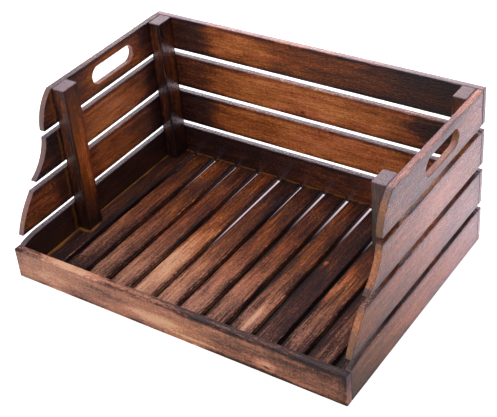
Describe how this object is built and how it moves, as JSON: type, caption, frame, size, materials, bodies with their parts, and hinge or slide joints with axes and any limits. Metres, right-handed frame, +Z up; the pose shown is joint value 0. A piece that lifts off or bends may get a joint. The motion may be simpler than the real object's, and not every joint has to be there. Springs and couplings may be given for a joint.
{
  "type": "wooden crate",
  "caption": "Low open-fronted crate of nailed wooden slats with corner posts, stepped curved side fronts and hand holes, for storing, carrying or displaying goods.",
  "frame": {"origin": "middle of the crate's footprint, on the surface it stands on", "axes": "+X to the crate's right along the front rail as seen from its open front, +Y from the front rail to the back, +Z up"},
  "size_m": [0.5, 0.355, 0.2301],
  "materials": {
    "front_rail": "satin dark walnut stain, streaked",
    "back_slats": "satin dark stain, flamed orange brown",
    "side_slats": "satin dark stain, flamed",
    "posts": "satin dark walnut stain",
    "floor_slats": "satin stain, worn lighter in the middle",
    "nails": "darkened with the stain"
  },
  "bodies": {
    "root": {"front_rail": "front_rail", "back_slat_1": "back_slats", "back_slat_2": "back_slats", "back_slat_3": "back_slats", "back_slat_4": "back_slats", "left_slat_1": "side_slats", "left_slat_2": "side_slats", "left_slat_3": "side_slats", "left_slat_4": "side_slats", "right_slat_1": "side_slats", "right_slat_2": "side_slats", "right_slat_3": "side_slats", "right_slat_4": "side_slats", "back_post_left": "posts", "back_post_right": "posts", "front_post_left": "posts", "front_post_right": "posts", "floor_slat_1": "floor_slats", "floor_slat_2": "floor_slats", "floor_slat_3": "floor_slats", "floor_slat_4": "floor_slats", "floor_slat_5": "floor_slats", "floor_slat_6": "floor_slats", "floor_slat_7": "floor_slats", "floor_slat_8": "floor_slats", "floor_slat_9": "floor_slats", "floor_slat_10": "floor_slats", "floor_slat_11": "floor_slats", "floor_slat_12": "floor_slats", "floor_slat_13": "floor_slats", "left_side_nails": "nails", "right_side_nails": "nails", "back_nails": "nails", "rail_nails": "nails", "floor_nails_front": "nails", "floor_nails_back": "nails"}
  },
  "joints": []
}
